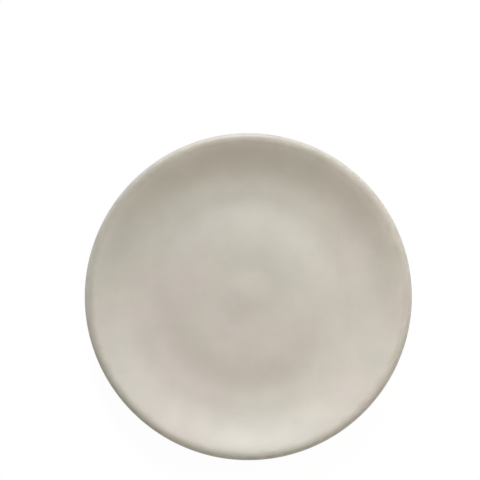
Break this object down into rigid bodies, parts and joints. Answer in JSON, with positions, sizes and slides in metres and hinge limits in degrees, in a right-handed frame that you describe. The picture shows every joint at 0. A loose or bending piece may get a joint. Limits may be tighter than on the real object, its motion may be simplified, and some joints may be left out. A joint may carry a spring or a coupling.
{
  "type": "coupe dinner plate",
  "caption": "Round rimless dinner plate in glazed stoneware, with a softly domed well, a sloping wall, a thick rounded lip and a bare foot ring.",
  "frame": {"origin": "centre of the plate in the plane of the foot ring's land, where it stands on the table", "axes": "+Z up along the plate's axis, towards the side that carries food; +Y is up in the picture and +X is right"},
  "size_m": [0.27, 0.27, 0.026],
  "materials": {
    "clay": "matte",
    "face_glaze": "satin",
    "back_glaze": "satin",
    "recess_glaze": "satin"
  },
  "bodies": {
    "root": {"clay_body": "clay", "face_glaze": "face_glaze", "back_glaze": "back_glaze", "foot_recess_glaze": "recess_glaze"}
  },
  "joints": []
}
